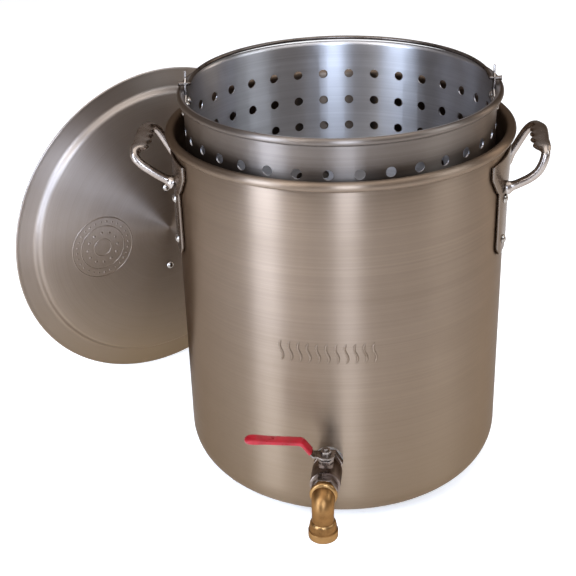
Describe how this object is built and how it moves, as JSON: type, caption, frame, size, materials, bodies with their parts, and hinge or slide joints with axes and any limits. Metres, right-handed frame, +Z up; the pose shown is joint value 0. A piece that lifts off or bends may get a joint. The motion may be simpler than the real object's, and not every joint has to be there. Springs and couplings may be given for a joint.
{
  "type": "boiling pot with drain valve, basket and lid",
  "caption": "Tall aluminium stock pot with riveted loop handles and a lever ball valve drain, a perforated lift-out basket with a wire bail, and a domed lid standing behind it.",
  "frame": {"origin": "centre of the pot's flat base, on the ground", "axes": "+Z up along the pot's axis; the drain valve points along -Y; the right handle is near +X"},
  "size_m": [0.702, 0.6619, 0.524],
  "materials": {
    "spun_aluminium": "spun, fine circumferential grain, satin",
    "cast_aluminium": "cast and tumbled, semi-bright",
    "rivet_aluminium": "bright rivet heads",
    "basket_aluminium": "spun, satin, slightly cooler than the pot",
    "lid_aluminium": "spun, satin, radial sheen",
    "yellow_brass": "machined brass",
    "cast_brass": "cast brass, dull gold with darker recesses",
    "plated_brass": "worn nickel plate over brass",
    "plated_steel": "zinc-plated steel, dull bright",
    "chromed_ball": "hard chrome",
    "wire_steel": "drawn steel wire",
    "red_vinyl": "dipped vinyl, semi-gloss red",
    "silicone": "translucent white silicone rubber",
    "ptfe": "white, waxy"
  },
  "bodies": {
    "pot": {"pot_shell": "spun_aluminium", "handle_right": "cast_aluminium", "handle_left": "cast_aluminium", "handle_rivets_right": "rivet_aluminium", "handle_rivets_left": "rivet_aluminium", "drain_nipple": "yellow_brass", "inner_locknut": "yellow_brass", "inner_seal": "silicone", "outer_seal": "silicone", "outer_locknut": "plated_brass", "valve_body": "plated_brass", "valve_end_cap": "plated_brass", "seat_rings": "ptfe", "stem_packing": "ptfe", "packing_nut": "plated_brass", "drain_elbow": "cast_brass", "outlet_collar": "cast_brass"},
    "lever": {"valve_ball": "chromed_ball", "valve_stem": "plated_steel", "lever_arm": "plated_steel", "lever_sleeve": "red_vinyl", "lever_nut": "plated_steel"},
    "basket": {"basket_shell": "basket_aluminium", "basket_ears": "cast_aluminium", "ear_rivets": "rivet_aluminium"},
    "bail": {"bail_wire": "wire_steel"},
    "lid": {"lid_shell": "lid_aluminium", "lid_handle": "cast_aluminium", "lid_rivets": "rivet_aluminium"}
  },
  "joints": [
    {"name": "valve_lever_turn", "type": "hinge", "parent": "pot", "child": "lever", "pos_m": [0, -0.243, 0.101], "axis": [0, 0, 1], "range_deg": [0, 90]},
    {"name": "basket_lift", "type": "slide", "parent": "pot", "child": "basket", "axis": [0, 0, 1], "range_m": [0, 0.5]},
    {"name": "bail_swing", "type": "hinge", "parent": "basket", "child": "bail", "pos_m": [0, 0, 0.508], "axis": [0.9962, 0.0872, 0], "range_deg": [0, 180]},
    {"name": "lid_lift", "type": "slide", "parent": "pot", "child": "lid", "axis": [0, 0, 1], "range_m": [0, 0.3]}
  ]
}
